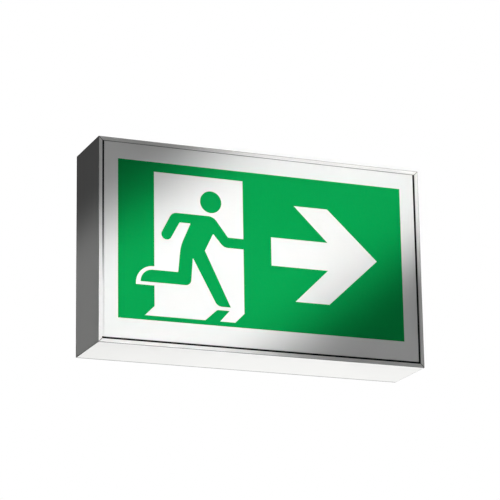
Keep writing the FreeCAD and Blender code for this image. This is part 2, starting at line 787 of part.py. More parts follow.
fixing_screws = body("fixing_screws")
screw_top = "case_height / 2 - 0.1"
screw_outline = [
    ("0", screw_top),
    ("fixing_head", screw_top),
    ("fixing_shaft", f"{screw_top} - fixing_head + fixing_shaft"),
    ("fixing_shaft", f"{screw_top} - 12"),
    ("0", f"{screw_top} - 12"),
]
turned = sketch_on(fixing_screws, "XZ_Plane", rise="fixing_back", x="fixing_spread / 2")
screw = spin(fixing_screws, add_outline(turned, screw_outline), "V_Axis")
mirror(fixing_screws, [screw], "YZ_Plane")
drive = sketch_on(fixing_screws, "XY_Plane", rise=screw_top)
for sx in ("", "-"):
    add_outline(drive, hexagon("2.5", f"{sx}fixing_spread / 2", "-fixing_back"))
pocket(fixing_screws, drive, "1.4")

cable_bush = body("cable_bush")
bush = [
    ("bush_bore", "-0.1"),
    ("entry_hole - 0.1", "-0.1"),
    ("entry_hole - 0.1", "-plate_thick - 0.05"),
    ("entry_hole + 2.5", "-plate_thick - 0.05"),
    ("entry_hole + 2.5", "-plate_thick - 3"),
    ("bush_bore", "-plate_thick - 3"),
]
spin(cable_bush, add_outline(sketch_on(cable_bush, "XY_Plane"), bush), "V_Axis")
place(cable_bush, x="entry_mid")

terminal_block = body("terminal_block")
moulding = sketch_on(terminal_block, "XZ_Plane", rise="plate_thick")
add_outline(moulding, box_corners("34", "18", "entry_mid", "40"))
pad(terminal_block, moulding, "14")
wire_holes = sketch_on(terminal_block, "XY_Plane", rise="40")
screw_wells = sketch_on(terminal_block, "XZ_Plane", rise="plate_thick + 14")
WAYS = ["entry_mid - 10", "entry_mid", "entry_mid + 10"]
for way in WAYS:
    add_outline(wire_holes, box_corners("3.6", "3.6", way, "-plate_thick - 5"))
    add_outline(screw_wells, box_corners("4.6", "4.6", way, "40"))
pocket(terminal_block, wire_holes)
pocket(terminal_block, screw_wells, "7")
terminal_screws = body("terminal_screws")
discs = sketch_on(terminal_screws, "XZ_Plane", rise="plate_thick + 7")
for way in WAYS:
    add_circle(discs, way, "40", "2.1")
pad(terminal_screws, discs, "2.5")

earth_stud = body("earth_stud")
stud = [("0", "-plate_thick"), ("fixing_shaft - 0.05", "-plate_thick")]
stud += [("fixing_shaft - 0.05", "-15"), ("0", "-15")]
spin(earth_stud, add_outline(sketch_on(earth_stud, "XY_Plane"), stud), "V_Axis")
place(earth_stud, x="entry_mid - 40")
earth_nut = body("earth_nut")
nut = add_outline(sketch_on(earth_nut, "XZ_Plane", rise="plate_thick + 0.8"), hexagon("7"))
add_circle(nut, "0", "0", "fixing_shaft")
pad(earth_nut, nut, "3.2")
place(earth_nut, x="entry_mid - 40")


# ---------------------------------------------------------------- test switch, charge indicator
def on_right_bar(label, outline, rise):
    """A turned piece along X whose sketch heights are radii and places are counted from the wall."""
    made = body(label)
    spin(made, add_outline(sketch_on(made, "XY_Plane"), outline), "H_Axis")
    place(made, x="case_width / 2", y="-switch_back", z=rise)
    return made


switch_barrel = on_right_bar(
    "switch_barrel",
    [
        ("0", "barrel_round"),
        ("0", "barrel_round + 1.5"),
        ("1", "barrel_round + 1.5"),
        ("1", "button_round + 0.05"),
        ("-2.5", "button_round + 0.05"),
        ("-2.5", "barrel_round - 1"),
        ("-15", "barrel_round - 1"),
        ("-15", "barrel_round"),
    ],
    "switch_rise",
)
switch_nut = body("switch_nut")
ring = add_outline(sketch_on(switch_nut, "YZ_Plane", rise="-wall - 2.5"), hexagon("nut_flats"))
add_circle(ring, "0", "0", "barrel_round + 0.05")
pad(switch_nut, ring, "2.5")
place(switch_nut, x="case_width / 2", y="-switch_back", z="switch_rise")

test_button = on_right_bar(
    "test_button",
    [
        ("-5.2", "0"),
        ("-5.2", "barrel_round - 1.3"),
        ("-2.6", "barrel_round - 1.3"),
        ("-2.6", "button_round"),
        ("1.3", "button_round"),
        ("1.8", "button_round - 0.5"),
        ("1.8", "0"),
    ],
    "switch_rise",
)

switch_contacts = on_right_bar(
    "switch_contacts",
    [("-5.2 - button_travel - 0.3", "0"), ("-5.2 - button_travel - 0.3", "barrel_round - 1.05")]
    + [("-17", "barrel_round - 1.05"), ("-17", "0")],
    "switch_rise",
)
blades = sketch_on(switch_contacts, "YZ_Plane", rise="-23")
for sign in ("", "-"):
    add_outline(blades, box_corners("0.8", "2.8", f"{sign}2.6"))
pad(switch_contacts, blades, "6.5")

indicator_bezel = on_right_bar(
    "indicator_bezel",
    [
        ("0", "lamp_round + 0.05"),
        ("0", "lamp_round + 1.7"),
        ("0.8", "lamp_round + 1.7"),
        ("0.8", "lamp_round + 0.05"),
    ],
    "lamp_rise",
)

on_right_bar(
    "charge_lamp",
    [("-9", "0"), ("-9", "lamp_round"), ("1.3", "lamp_round"), ("1.3", "0")],
    "lamp_rise",
)


# ---------------------------------------------------------------- check and write
doc.recompute()
faults = [
    f"{thing.Label}: {thing.State}"
    for thing in doc.Objects
    if {"Invalid", "Error"} & set(thing.State)
]
for piece in parts:
    if piece.Shape.isNull() or not piece.Shape.isValid():
        faults.append(f"{piece.Label}: bad shape")
if faults:
    raise SystemExit("\n".join(faults))

os.makedirs("parts", exist_ok=True)
for piece in parts:
    piece.Shape.exportStep(f"parts/{piece.Label}.step")
    box = piece.Shape.BoundBox
    print(
        f"{piece.Label:28s} solids {len(piece.Shape.Solids):2d}  volume {piece.Shape.Volume:10.1f}"
        f"  x {box.XMin:7.1f} {box.XMax:7.1f}  y {box.YMin:6.1f} {box.YMax:6.1f}"
        f"  z {box.ZMin:7.1f} {box.ZMax:7.1f}"
    )
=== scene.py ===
# %% [markdown]
# # An emergency exit light, dressed in Blender
# The light is a flat box of four mitred aluminium bars round an opal panel. A green film on the
# panel carries the legend. The solids come from the CAD model and stay where they are: this
# notebook gives each of them a finish, adds the small things that a CAD model leaves out, and
# sets up a studio with a camera. The places of the added things are worked out from the boxes of
# the CAD pieces, so a small class holds such a box.

# %% Load the frame
import math

import bpy
from mathutils import Matrix, Vector


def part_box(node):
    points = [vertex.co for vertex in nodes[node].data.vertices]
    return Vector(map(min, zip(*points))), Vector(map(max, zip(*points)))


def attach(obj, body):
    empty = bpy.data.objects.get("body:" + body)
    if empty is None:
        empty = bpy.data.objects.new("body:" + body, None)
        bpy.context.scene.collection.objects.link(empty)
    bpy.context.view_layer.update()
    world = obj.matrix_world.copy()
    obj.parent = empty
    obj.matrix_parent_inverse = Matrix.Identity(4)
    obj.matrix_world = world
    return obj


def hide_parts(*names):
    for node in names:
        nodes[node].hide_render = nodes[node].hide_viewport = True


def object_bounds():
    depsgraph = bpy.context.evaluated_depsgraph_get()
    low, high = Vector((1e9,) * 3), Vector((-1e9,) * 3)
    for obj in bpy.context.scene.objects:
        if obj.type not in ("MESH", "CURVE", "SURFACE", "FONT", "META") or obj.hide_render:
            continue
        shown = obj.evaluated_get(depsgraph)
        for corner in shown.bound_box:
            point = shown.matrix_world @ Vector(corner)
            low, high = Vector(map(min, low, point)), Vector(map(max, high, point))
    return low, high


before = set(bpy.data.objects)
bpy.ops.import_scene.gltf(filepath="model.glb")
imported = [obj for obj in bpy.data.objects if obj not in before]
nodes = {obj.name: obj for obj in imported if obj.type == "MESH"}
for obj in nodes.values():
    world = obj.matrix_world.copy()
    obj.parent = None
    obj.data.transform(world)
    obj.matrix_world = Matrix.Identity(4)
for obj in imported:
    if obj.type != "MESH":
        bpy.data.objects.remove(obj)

cad_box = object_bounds()
print("pieces from the CAD model:", len(nodes))

# %% The room that a piece takes up
class Room:
    """The box round a CAD piece: lowest and highest corner, middle and half sizes."""

    def __init__(self, name):
        self.low, self.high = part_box(name)
        self.middle = [(a + b) / 2 for a, b in zip(self.low, self.high)]
        self.half = [(b - a) / 2 for a, b in zip(self.low, self.high)]


# %% [markdown]
# ## Writing node trees as formulas
# A finish is a tree of shader nodes, and a repeated shape is a tree of geometry nodes. Written
# node by node, both are hard to read. So one small class wraps a socket and turns + - * / > <
# into Math nodes, and a second one holds a tree and adds any other node from its type, its
# settings and its inputs. A comparison gives 1 where it holds and 0 elsewhere, so products of
# comparisons make masks.

# %% Wires and trees
class Wire:
    """One output socket; arithmetic with it adds Math nodes to its tree."""

    def __init__(self, owner, socket):
        self.owner = owner
        self.socket = socket

    def math(self, operation, first, second=0.0):
        return self.owner.node("ShaderNodeMath", {"operation": operation}, {0: first, 1: second})

    def __add__(self, other):
        return self.math("ADD", self, other)

    def __sub__(self, other):
        return self.math("SUBTRACT", self, other)

    def __rsub__(self, other):
        return self.math("SUBTRACT", other, self)

    def __mul__(self, other):
        return self.math("MULTIPLY", self, other)

    def __truediv__(self, other):
        return self.math("DIVIDE", self, other)

    def __rtruediv__(self, other):
        return self.math("DIVIDE", other, self)

    def __gt__(self, other):
        return self.math("GREATER_THAN", self, other)

    def __lt__(self, other):
        return self.math("LESS_THAN", self, other)

    def __abs__(self):
        return self.math("ABSOLUTE", self)

    def or_more(self, other):
        return self.math("MAXIMUM", self, other)

    def swing(self, reach):
        """A noise of 0 to 1 made to swing round 0, by the reach from end to end."""
        return (self - 0.5) * reach

    __radd__ = __add__
    __rmul__ = __mul__


class Tree:
    """A node tree that is filled by calls."""

    def __init__(self, tree):
        self.tree = tree

    def node(self, kind, settings, inputs, output=0):
        """Adds a node: its settings first, then its inputs; gives the wire of one output."""
        made = self.tree.nodes.new(kind)
        for name, value in settings.items():
            setattr(made, name, value)
        for name, value in inputs.items():
            self.feed(made.inputs[name], value)
        return Wire(self, made.outputs[output])

    def feed(self, socket, value):
        """Links a wire to a socket, or sets the socket to a plain value."""
        if isinstance(value, Wire):
            self.tree.links.new(value.socket, socket)
        elif socket.type == "RGBA":
            socket.default_value = (*value, 1.0)
        else:
            socket.default_value = value


# %% [markdown]
# ## Finishes
# Every finish is one Principled shader. What is the same all over goes straight onto the
# shader's own sockets. What varies reads the place on the piece in metres, so a grain has its
# true size on every piece.

# %% A finish
class Finish(Tree):
    """A material whose shader is one Principled BSDF fed by formulas."""

    def __init__(self, name, **constants):
        self.material = bpy.data.materials.new(name)
        self.material.use_nodes = True
        super().__init__(self.material.node_tree)
        self.shader = self.tree.nodes["Principled BSDF"]
        for socket, value in constants.items():
            self.set(socket.replace("_", " "), value)

    def set(self, socket, value):
        self.feed(self.shader.inputs[socket], value)

    def place(self):
        """Where on the piece: metres in the object's own axes."""
        return self.node("ShaderNodeTexCoord", {}, {}, "Object")

    def axes(self):
        """The same place as three numbers."""
        first = self.node("ShaderNodeSeparateXYZ", {}, {"Vector": self.place()})
        return [Wire(self, output) for output in first.socket.node.outputs]

    def stretched(self, scale):
        """The place multiplied axis by axis, which stretches a pattern along an axis."""
        return self.node("ShaderNodeMapping", {}, {"Vector": self.place(), "Scale": scale})

    def noise(self, scale, detail, where=None):
        inputs = {"Vector": where or self.place(), "Scale": scale, "Detail": detail}
        return self.node("ShaderNodeTexNoise", {}, inputs)

    def cells(self, scale):
        """One random number for each crystal-like cell."""
        inputs = {"Vector": self.place(), "Scale": scale}
        colour = self.node("ShaderNodeTexVoronoi", {}, inputs, "Color")
        return self.node("ShaderNodeSeparateColor", {}, {"Color": colour})

    def blend(self, amount, first, second):
        """The first colour where the amount is 0, the second where it is 1."""
        settings = {"data_type": "RGBA"}
        return self.node("ShaderNodeMix", settings, {0: amount, 6: first, 7: second}, 2)

    def bump(self, height, distance, strength):
        inputs = {"Height": height, "Distance": distance, "Strength": strength}
        self.set("Normal", self.node("ShaderNodeBump", {}, inputs))


def shade(colour, factor):
    """The colour made lighter or darker."""
    return tuple(min(1.0, channel * factor) for channel in colour)


def dress(finish, *names):
    """Gives a finish to CAD pieces."""
    for name in names:
        piece = nodes[name]
        piece.data.materials.clear()
        piece.data.materials.append(finish.material)
    print(f"{finish.material.name}: {len(names)} pieces")


# %% [markdown]
# ## Powder coat
# The case bars and the wall plate are coated with white powder that is baked until it flows.
# Close up, such a coat has a faint orange-peel surface: soft dimples under a millimetre apart.
# A bump from fine noise gives them, and slow noise lets the gloss wander a little. The front and
# rear edges of the bars and the inner edges of the lips carry painted shade as thin grey lines,
# and the mitres show as thin grey joint lines. The gap round the panel has black painted shade,
# which painted light pales down the left side. The lines and the dark gap are masks worked out
# from the place on the object, so they stay where they are from every side. The panel and its seal
# use the gap's mask further on.

# %% Sizes of the case, its lips and the gap
MM = 0.001
HALF_WIDTH, DEPTH, HALF_HEIGHT = -cad_box[0][0], -cad_box[0][1], cad_box[1][2]
LIP_WIDTH, LIP_THICK = 3.9 * MM, 3.0 * MM
# half the width of the panel's face, and how far its foot is below the middle of the case
GAP_SIDE, GAP_FOOT = 168.9 * MM, 98.9 * MM
# the height where painted light starts to pale the left side of the gap, and the drop over which
# it does
PAINTED_LIGHT_TOP, PAINTED_LIGHT_SPAN = 54 * MM, 100 * MM
print("half width, depth and half height of the case:", HALF_WIDTH, DEPTH, HALF_HEIGHT)

# %% Where the gap gets painted shade
def painted_gap_shade(finish):
    """1 where the gap round the panel has black painted shade; painted light takes it to 0 down
    the left.
    """
    x, y, z = finish.axes()
    fall = ((PAINTED_LIGHT_TOP - z) / PAINTED_LIGHT_SPAN).or_more(0.0)
    on_left = (x < -GAP_SIDE) * (z > -GAP_FOOT)
    return (1.0 - fall * fall * on_left).or_more(0.0)


# %% Where the edges get painted shade
# widths of the painted shade lines on the front and rear faces of a bar, and on its outside next
# to them
ON_THE_FACES = 0.4 * MM
NEXT_TO_FRONT = 0.4 * MM
NEXT_TO_REAR = 1.8 * MM
MITRE_HALF = 0.4 * MM
# how far behind the face the painted shade line on a lip's edge starts, and the play of its mask
FACE_CLEAR = 0.2 * MM
PLAY = 0.1 * MM


def edge_shade_and_mitres(coat):
    """Two masks: 1 for painted shade on the sharp edges of a bar and its lips, and 1 for the mitre
    lines.
    """
    x, y, z = coat.axes()
    past_side = abs(x) - HALF_WIDTH
    past_top = abs(z) - HALF_HEIGHT
    past_skin = past_side.or_more(past_top)
    near_skin = past_skin > -ON_THE_FACES
    near_face = (y < NEXT_TO_FRONT - DEPTH).or_more(y > -NEXT_TO_REAR)
    behind_face = (y > FACE_CLEAR - DEPTH) * (y < LIP_THICK + PLAY - DEPTH)
    # the inner edges of the lips get painted shade, as dark as the gap's painted shade
    lip_edge_shade = (past_skin < PLAY - LIP_WIDTH) * behind_face * painted_gap_shade(coat)
    edge_shade = (near_skin * near_face).or_more(lip_edge_shade)
    return edge_shade, abs(past_side - past_top) < MITRE_HALF


# %% Three powder coats
# how dark the painted shade on the edges is, and the grey of the mitre lines
EDGE_SHADE_TONE = 0.16
MITRE_TONE = 0.1
PEEL_SCALE = 1500.0
PEEL_DEPTH = 0.04 * MM


def powder_coat(name, colour, roughness, with_edge_shade=False):
    """White powder with orange peel; with edge shade, the edges of the bars get painted shade."""
    coat = Finish(name, Specular_IOR_Level=0.3)
    slow = coat.noise(scale=14.0, detail=2.0)
    even = coat.blend(slow, shade(colour, 0.985), shade(colour, 1.01))
    if with_edge_shade:
        # painted shade on the front and rear edges of the bars and on the inner edges of the lips
        edge_shade, mitre = edge_shade_and_mitres(coat)
        even = coat.blend(edge_shade, even, shade(colour, EDGE_SHADE_TONE))
        even = coat.blend(mitre, even, shade(colour, MITRE_TONE))
    coat.set("Base Color", even)
    peel = coat.noise(scale=PEEL_SCALE, detail=2.0)
    coat.set("Roughness", roughness + slow.swing(0.08) + peel.swing(0.06))
    coat.bump(peel + slow * 0.5, distance=PEEL_DEPTH, strength=0.5)
    return coat


WHITE = (0.86, 0.86, 0.845)
dress(powder_coat("white_coat", WHITE, roughness=0.45, with_edge_shade=True), "frame_top",
      "frame_bottom", "frame_left", "frame_right")
dress(powder_coat("wall_plate_coat", shade(WHITE, 0.97), roughness=0.5), "back_plate")
dress(powder_coat("reflector_coat", (0.88, 0.88, 0.87), roughness=0.55), "gear_plate")

# %% [markdown]
# ## Opal acrylic and green film
# The panel is moulded acrylic with a white filler, and has a soft sheen. The green of the legend
# is a matt print on a thin film, so that a lamp in the room leaves no glare on it. The print is
# clean and even, and only a very fine grain of ink breaks it up. The margin outside the film is a
# shade greyer than the white inside the legend. The walls of the gap get black painted shade,
# which painted light pales down the left side. Both are masks made from the place on the panel.

# %% Opal panel
# how far behind the case's face the painted shade on the walls of the gap starts
GAP_DEEP = 0.7 * MM
BODY_WHITES = (0.925, 0.93, 0.915), (0.94, 0.943, 0.93)
MARGIN_WHITES = (0.9, 0.905, 0.89), (0.914, 0.917, 0.905)
GAP_WALL_SHADE = (0.05, 0.05, 0.05)

opal = Finish("opal_acrylic", Roughness=0.42, Specular_IOR_Level=0.2)
cloud = opal.noise(scale=22.0, detail=2.0)
body_white = opal.blend(cloud, *BODY_WHITES)
margin_white = opal.blend(cloud, *MARGIN_WHITES)
film = Room("legend_film")
x, y, z = opal.axes()
past_side = abs(x - film.middle[0]) - film.half[0]
past_top = abs(z - film.middle[2]) - film.half[2]
past_film = past_side.or_more(past_top)
whites = opal.blend(past_film > 0.0, body_white, margin_white)
# the walls of the gap get black painted shade, which painted light pales down the left side
shaded_gap_wall = (abs(x) > GAP_SIDE).or_more(z < -GAP_FOOT) * (y > GAP_DEEP - DEPTH)
opal.set("Base Color", opal.blend(shaded_gap_wall * painted_gap_shade(opal), whites, GAP_WALL_SHADE))
opal.bump(opal.noise(scale=260.0, detail=1.0), distance=0.02 * MM, strength=0.3)
dress(opal, "legend_panel")

# %% Green film and black seal
GREEN = (0.0007, 0.355, 0.077)
print_green = Finish("legend_green", Roughness=0.6, Specular_IOR_Level=0.03)
ink = print_green.noise(scale=900.0, detail=3.0)
print_green.set("Base Color", print_green.blend(ink, shade(GREEN, 0.96), shade(GREEN, 1.04)))
dress(print_green, "legend_film")

# the pale grey that painted light gives the seal down the left side of the gap
GAP_PAINTED_LIGHT = (0.85, 0.85, 0.84)
foam = Finish("seal_foam", Roughness=0.95, Specular_IOR_Level=0.1)
pores = foam.noise(scale=2600.0, detail=2.0)
black = foam.blend(pores, (0.006, 0.006, 0.006), (0.02, 0.02, 0.02))
# the seal is black, and painted light pales it down the left side
foam.set("Base Color", foam.blend(painted_gap_shade(foam), GAP_PAINTED_LIGHT, black))
foam.bump(pores, distance=0.2 * MM, strength=0.8)
dress(foam, "panel_gasket")

# %% [markdown]
# ## Metals
# Zinc-plated steel is bright with a slightly uneven sheen. Galvanised sheet shows its zinc
# crystals as a patchwork of greys. Spring steel and brass keep fine drawn lines, which the noise
# gives once it is stretched along Z. One function makes them all, with the lines and the
# patchwork as its settings.

# %% Metals
DRAWN_UPRIGHT = (1.0, 1.0, 0.06)


def metal(name, colour, roughness, crystals=0.0, grain=0.0):
    """Bare metal; crystals is the share of zinc patchwork, grain the depth of drawn lines."""
    plate = Finish(name, Metallic=1.0)
    patch = plate.cells(scale=240.0)
    slow = plate.noise(scale=60.0, detail=3.0)
    amount = patch * crystals + slow * (1.0 - crystals)
    plate.set("Base Color", plate.blend(amount, shade(colour, 0.86), shade(colour, 1.08)))
    drawn = plate.noise(scale=700.0, detail=2.0, where=plate.stretched(DRAWN_UPRIGHT))
    plate.set("Roughness", roughness + amount.swing(0.12) + drawn.swing(0.08))
    plate.bump(drawn * grain + slow * 0.2, distance=0.05 * MM, strength=0.5)
    return plate


zinc_plate = metal("zinc_plate", (0.62, 0.62, 0.63), roughness=0.38)
brass = metal("brass", (0.72, 0.5, 0.2), roughness=0.3, grain=0.4)
galvanised = metal("galvanised", (0.55, 0.56, 0.58), roughness=0.42, crystals=0.8)
spring_steel = metal("spring_steel", (0.42, 0.42, 0.44), roughness=0.35, grain=0.6)
dress(zinc_plate, "gear_plate_screws", "converter_screws", "captive_nuts",
      "fixing_screws", "switch_nut", "indicator_bezel", "corner_cleat_top_right",
      "corner_cleat_bottom_right", "corner_cleat_bottom_left", "corner_cleat_top_left")
dress(galvanised, "converter_base", "hook_bracket_left", "hook_bracket_right")
dress(spring_steel, "battery_clip_left", "battery_clip_right")
dress(brass, "terminal_screws", "earth_stud", "earth_nut")

# %% [markdown]
# ## Moulded plastics, rubber and lenses
# A moulded part copies its tool: most tools are spark-eroded, which leaves a fine even grain.
# One function serves for all of them. Each gets its own colour, roughness and strength of grain.

# %% Plastics and rubber
def moulded(name, colour, roughness, grain=0.3, **constants):
    """Plastic or rubber from a spark-eroded tool; grain is how strongly its texture shows."""
    plastic = Finish(name, **constants)
    slow = plastic.noise(scale=45.0, detail=2.0)
    plastic.set("Base Color", plastic.blend(slow, shade(colour, 0.93), shade(colour, 1.05)))
    spark = plastic.noise(scale=2200.0, detail=2.0)
    plastic.set("Roughness", roughness + slow.swing(0.08) + spark.swing(0.1))
    plastic.bump(spark, distance=0.06 * MM, strength=grain)
    return plastic


white_moulding = moulded("white_moulding", (0.78, 0.78, 0.76), roughness=0.45)
black_moulding = moulded("black_moulding", (0.02, 0.02, 0.022), roughness=0.4)
red_button = moulded("red_button", (0.5, 0.012, 0.015), roughness=0.3, grain=0.1)
green_lens = moulded("green_lens", (0.03, 0.42, 0.08), roughness=0.12, grain=0.05,
                     Coat_Weight=0.6)
rubber = moulded("rubber_black", (0.025, 0.025, 0.025), roughness=0.75, grain=0.6)
sleeve = moulded("cell_sleeve", (0.03, 0.16, 0.42), roughness=0.28, grain=0.15)
strip_board = moulded("strip_board", (0.84, 0.84, 0.8), roughness=0.4, grain=0.2)
green_board = moulded("green_board", (0.02, 0.16, 0.06), roughness=0.35, grain=0.2)

# %% Pieces of plastic and rubber
dress(white_moulding, "converter_cover", "terminal_block")
dress(black_moulding, "switch_barrel", "switch_contacts")
dress(red_button, "test_button")
dress(green_lens, "charge_lamp")
dress(rubber, "cable_bush")
dress(sleeve, "battery_pack")
dress(strip_board, "led_strip_1", "led_strip_2", "led_strip_3")
dress(green_board, "converter_board")

# %% [markdown]
# ## Turned pieces on the right side
# The test button and the charge lamp are the only pieces that a person touches or looks at
# closely. The CAD model has them with flat ends. A real button is dished for a fingertip and
# has a rounded rim, and a signal lamp is domed. Both are round, so a half outline is spun about
# its axis, and doubles are merged where the outline meets the axis.

# %% Keeping a finished piece
collection = bpy.context.scene.collection


def keep(name, mesh, body):
    """Links a finished mesh as a piece that rides on a body."""
    mesh.name = name
    piece = bpy.data.objects.new(name, mesh)
    collection.objects.link(piece)
    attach(piece, body)
    print(f"{name}: {len(mesh.polygons)} faces on {body}")
    return piece


# %% A turned piece
import bmesh

SPIN_STEPS = 48
SHARP = math.radians(35)
WELD = 1e-6


def turned(name, outline, centre, finish, body):
    """Spins a half outline of (along, radius) about the X axis through the centre."""
    shape = bmesh.new()
    rim = [shape.verts.new((along, radius, 0.0)) for along, radius in outline]
    edges = [shape.edges.new(pair) for pair in zip(rim, rim[1:])]
    bmesh.ops.spin(shape, geom=rim + edges, cent=(0, 0, 0), axis=(1, 0, 0), angle=math.tau,
                   steps=SPIN_STEPS, use_merge=True)
    bmesh.ops.remove_doubles(shape, verts=shape.verts, dist=WELD)
    bmesh.ops.recalc_face_normals(shape, faces=shape.faces)
    bmesh.ops.translate(shape, verts=shape.verts, vec=centre)
    mesh = bpy.data.meshes.new(name)
    shape.to_mesh(mesh)
    shape.free()
    mesh.materials.append(finish.material)
    mesh.shade_smooth()
    mesh.set_sharp_from_angle(angle=SHARP)
    return keep(name, mesh, body)


def quarter(along, radius, reach, inset, steps=6):
    """A quarter of an ellipse, from the side of a turned piece over to its end."""
    turns = [math.pi / 2 * step / steps for step in range(steps + 1)]
    return [(along + reach * math.sin(t), radius - inset * (1 - math.cos(t))) for t in turns]


# %% Test button
COLLAR_LENGTH = 2.6 * MM
COLLAR_STEP = 0.7 * MM
RIM_ROUND = 0.6 * MM
DISH = 0.35 * MM

room = Room("test_button")
start, switch_y, switch_z = room.low[0], room.middle[1], room.middle[2]
length = 2 * room.half[0]
collar = room.half[2]
stem = collar - COLLAR_STEP
outline = [(0.0, 0.0), (0.0, collar), (COLLAR_LENGTH, collar), (COLLAR_LENGTH, stem)]
outline += quarter(length - RIM_ROUND, stem, RIM_ROUND, RIM_ROUND)
dish_radius = stem - RIM_ROUND
for share in (0.75, 0.5, 0.25, 0.0):
    outline.append((length - DISH * (1 - share**2), dish_radius * share))
button = turned("dished_test_button", outline, (start, switch_y, switch_z), red_button,
                "button")
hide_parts("test_button")

# %% Charge lamp
DOME = 0.9 * MM
DOME_STEPS = 8

room = Room("charge_lamp")
radius = room.half[2]
outline = [(0.0, 0.0), (0.0, radius)]
outline += quarter(2 * room.half[0] - DOME, radius, DOME, radius, DOME_STEPS)
centre = (room.low[0], room.middle[1], room.middle[2])
lens = turned("domed_charge_lamp", outline, centre, green_lens, "case")
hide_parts("charge_lamp")

# %% [markdown]
# ## Geometry Nodes for what repeats
# Light points, solder joints, threads and terminal screws each repeat one shape. It is made
# once, by a small tree, and set on points that are worked out from the frame. The tree's sizes
# are named inputs, and it ends in Realize Instances and Set Material, so that its result can be
# kept as a plain mesh.

# %% A recipe
class Recipe(Tree):
    """A Geometry Nodes tree that sets a shape on every point of a start mesh."""

    def __init__(self, name, **sizes):
        super().__init__(bpy.data.node_groups.new(name, "GeometryNodeTree"))
        sockets = {"Points": "Geometry", **sizes, "Material": "Material"}
        for label, kind in sockets.items():
            label = label.replace("_", " ")
            self.tree.interface.new_socket(label, in_out="INPUT", socket_type="NodeSocket" + kind)
        self.tree.interface.new_socket("Result", in_out="OUTPUT", socket_type="NodeSocketGeometry")
        self.given = self.tree.nodes.new("NodeGroupInput")

    def size(self, label):
        return Wire(self, self.given.outputs[label])

    def on_points(self, shape, **inputs):
        """Ends the tree: the shape on every point, made one mesh with its material."""
        inputs = {"Points": self.size("Points"), "Instance": shape, **inputs}
        copies = self.node("GeometryNodeInstanceOnPoints", {}, inputs)
        whole = self.node("GeometryNodeRealizeInstances", {}, {"Geometry": copies})
        inputs = {"Geometry": whole, "Material": self.size("Material")}
        finished = self.node("GeometryNodeSetMaterial", {}, inputs)
        self.feed(self.tree.nodes.new("NodeGroupOutput").inputs["Result"], finished)

    def make(self, name, points, finish, body, slot, **sizes):
        """Runs the tree on points and keeps the result as a plain mesh on one body."""
        start = bpy.data.meshes.new(name)
        start.from_pydata(points, [], [])
        carrier = bpy.data.objects.new(name + "_points", start)
        collection.objects.link(carrier)
        modifier = carrier.modifiers.new("recipe", "NODES")
        modifier.node_group = self.tree
        values = {label.replace("_", " "): value for label, value in sizes.items()}
        values["Material"] = finish.material
        for item in self.tree.interface.items_tree:
            if item.name in values:
                modifier[item.identifier] = values[item.name]
        graph = bpy.context.evaluated_depsgraph_get()
        mesh = bpy.data.meshes.new_from_object(carrier.evaluated_get(graph))
        bpy.data.objects.remove(carrier)
        return keep(name, mesh, body)


# %% [markdown]
# ## Light points
# Each LED package on the three strips has a drop of yellow phosphor in its window and a bright
# fillet of solder at each end. Seen from a step away both are just small lenses of material, so
# one recipe serves: a low-resolution ball, flattened to three half sizes and half sunk in the
# strip.

# %% Drops of phosphor and solder
drop = Recipe("drop", Half_Size="Vector")
ball = drop.node("GeometryNodeMeshUVSphere", {}, {"Segments": 14, "Rings": 8, "Radius": 1.0})
drop.on_points(ball, Scale=drop.size("Half Size"))

phosphor = moulded("phosphor", (0.86, 0.68, 0.12), roughness=0.35, grain=0.2)
solder = metal("solder", (0.7, 0.7, 0.71), roughness=0.28)
print("drop recipe:", len(drop.tree.nodes), "nodes")

# %% Where the drops go
CHIP_COUNT = 12
CHIP_PITCH = 24 * MM
BOARD_THICK = 1.6 * MM
CHIP_THICK = 0.8 * MM
CHIP_HALF = 1.75 * MM
FILLET_OUT = 0.2 * MM
PHOSPHOR_HALF = (1.25 * MM, 0.3 * MM, 0.95 * MM)
SOLDER_HALF = (0.5 * MM, 0.45 * MM, 1.1 * MM)

chip_spots = []
solder_spots = []
for number in (1, 2, 3):
    strip = Room(f"led_strip_{number}")
    row = strip.middle[2]
    board_face = strip.high[1] - BOARD_THICK
    for step in range(CHIP_COUNT):
        along = strip.middle[0] + CHIP_PITCH * (step - (CHIP_COUNT - 1) / 2)
        chip_spots.append((along, board_face - CHIP_THICK, row))
        for side in (-1, 1):
            solder_spots.append((along + side * (CHIP_HALF + FILLET_OUT), board_face, row))
drop.make("phosphor_drops", chip_spots, phosphor, "case", "strip", Half_Size=PHOSPHOR_HALF)
drop.make("strip_solder", solder_spots, solder, "case", "strip", Half_Size=SOLDER_HALF)

# %% [markdown]
# ## Threads
# The stud, the case screws and the switch barrel are smooth rods in the CAD model. A thread is a
# ridge that climbs round a rod, one pitch for each turn. The recipe lays a spiral of constant
# radius along the rod and sweeps a small triangle along it. Only the bare stretches get one,
# because inside a nut it would not be seen.

# %% A thread on a rod
STEPS_A_TURN = 28
RIDGE_SHARE = 0.4

thread = Recipe("thread", Rod_Radius="Float", Length="Float", Pitch="Float", Turn="Vector")
spiral = thread.node("GeometryNodeCurveSpiral", {}, {
    "Resolution": STEPS_A_TURN,
    "Rotations": thread.size("Length") / thread.size("Pitch"),
    "Start Radius": thread.size("Rod Radius"),
    "End Radius": thread.size("Rod Radius"),
    "Height": thread.size("Length"),
})
ridge_size = thread.size("Pitch") * RIDGE_SHARE
triangle = thread.node("GeometryNodeCurvePrimitiveCircle", {}, {
    "Resolution": 3,
    "Radius": ridge_size,
})
ridge = thread.node("GeometryNodeCurveToMesh", {}, {
    "Curve": spiral,
    "Profile Curve": triangle,
    "Fill Caps": True,
})
thread.on_points(ridge, Rotation=thread.size("Turn"))
print("thread recipe:", len(thread.tree.nodes), "nodes")

# %% Sizes of the threads
# what stays smooth at each end of a thread, and how far its spiral lies inside the stud
END = 0.4 * MM
SINK = 0.1 * MM
